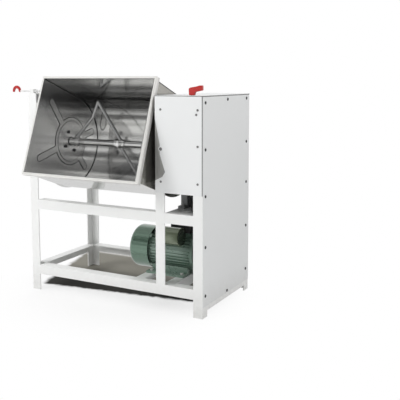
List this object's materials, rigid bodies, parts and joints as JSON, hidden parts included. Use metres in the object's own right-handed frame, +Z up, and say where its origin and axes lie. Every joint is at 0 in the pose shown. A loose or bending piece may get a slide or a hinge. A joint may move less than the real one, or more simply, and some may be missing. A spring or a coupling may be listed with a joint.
{
  "type": "dough mixer",
  "caption": "Floor-standing dough mixer with a tilting stainless trough, a bent-bar kneading shaft, and a motor with belt and gear drive in a painted angle-steel frame.",
  "frame": {"origin": "middle of the machine's overall box, on the floor under the legs", "axes": "+X from the left legs to the drive housing, +Y from front to back, +Z up"},
  "size_m": [1.167, 0.6764, 1.1468],
  "materials": {
    "frame_paint": "white powder coat, satin",
    "cover_paint": "white powder coat, satin",
    "stainless": "brushed stainless sheet",
    "bright_steel": "turned steel",
    "zinc_bolt": "bright zinc plate",
    "dark_screw": "black oxide",
    "cast_iron": "painted casting",
    "motor_paint": "glossy green enamel",
    "bronze": "sintered bronze",
    "seal_rubber": "smooth black rubber",
    "belt_rubber": "matt black rubber",
    "red_plastic": "smooth red plastic",
    "switch_plastic": "black moulded plastic",
    "fan_plastic": "black moulded plastic",
    "laminated_steel": "stacked electrical sheet"
  },
  "bodies": {
    "root": {"leg_front_left": "frame_paint", "leg_rear_left": "frame_paint", "leg_front_right": "frame_paint", "leg_rear_right": "frame_paint", "housing_posts": "frame_paint", "lower_rail_front": "frame_paint", "lower_rail_rear": "frame_paint", "lower_rail_left": "frame_paint", "lower_rail_right": "frame_paint", "front_mid_rail": "frame_paint", "housing_mid_rails": "frame_paint", "side_top_rails": "frame_paint", "bearing_rails": "frame_paint", "drive_rails": "frame_paint", "motor_rails": "frame_paint", "housing_channel": "stainless", "front_cover": "cover_paint", "side_cover": "cover_paint", "rear_cover": "cover_paint", "top_cover": "cover_paint", "front_cover_screws": "zinc_bolt", "dark_cover_screws": "dark_screw", "mounting_bolts": "zinc_bolt", "pillow_blocks": "cast_iron", "pedestal_bearings": "cast_iron", "v_belts": "belt_rubber", "motor_frame": "motor_paint", "motor_end_bells": "motor_paint", "fan_cowl": "motor_paint", "capacitor_case": "motor_paint", "terminal_box": "switch_plastic", "stator_core": "laminated_steel", "switch_case": "switch_plastic", "lock_bracket": "bright_steel"},
    "trough": {"trough_shell": "stainless", "end_wall_left": "stainless", "end_wall_right": "stainless", "trough_rim": "stainless", "spider_plates": "stainless", "trunnions": "bright_steel", "shaft_bushes": "bronze", "shaft_seals": "seal_rubber", "hub_bolts": "zinc_bolt", "lock_plate": "stainless"},
    "main_shaft": {"kneading_shaft": "bright_steel", "paddle_collars": "bright_steel", "collar_bolts": "zinc_bolt", "paddle_bar_left": "bright_steel", "paddle_bar_right": "bright_steel", "main_gear": "cast_iron"},
    "countershaft_body": {"countershaft": "bright_steel", "pinion": "bright_steel", "countershaft_pulley": "cast_iron"},
    "motor_rotor": {"motor_shaft": "bright_steel", "rotor_core": "laminated_steel", "cooling_fan": "fan_plastic", "motor_pulley": "cast_iron"},
    "switch_lever_body": {"switch_lever": "red_plastic"},
    "lock_slide": {"lock_pin": "bright_steel", "lock_grip": "red_plastic"}
  },
  "joints": [
    {"name": "trough_tilt", "type": "hinge", "parent": "root", "child": "trough", "pos_m": [-0.0455, 0.05125, 0.786], "axis": [-1, 0, 0], "range_deg": [-15, 69.5]},
    {"name": "kneading_shaft_spin", "type": "hinge", "parent": "root", "child": "main_shaft", "pos_m": [-0.0455, 0.05125, 0.786], "axis": [1, 0, 0], "continuous": true},
    {"name": "countershaft_spin", "type": "hinge", "parent": "root", "child": "countershaft_body", "pos_m": [0.4475, -0.00875, 0.61629], "axis": [1, 0, 0], "continuous": true},
    {"name": "motor_spin", "type": "hinge", "parent": "root", "child": "motor_rotor", "pos_m": [0.1925, 0.05125, 0.25], "axis": [1, 0, 0], "continuous": true},
    {"name": "switch_turn", "type": "hinge", "parent": "root", "child": "switch_lever_body", "pos_m": [0.5145, -0.17875, 1.055], "axis": [0, 0, 1], "range_deg": [-45, 45]},
    {"name": "lock_pull", "type": "slide", "parent": "root", "child": "lock_slide", "axis": [-1, 0, 0], "range_m": [0, 0.013]}
  ],
  "couplings": [
    {"joint": "countershaft_spin", "follows": "kneading_shaft_spin", "ratio": -6.0588},
    {"joint": "motor_spin", "follows": "kneading_shaft_spin", "ratio": -16.662}
  ]
}
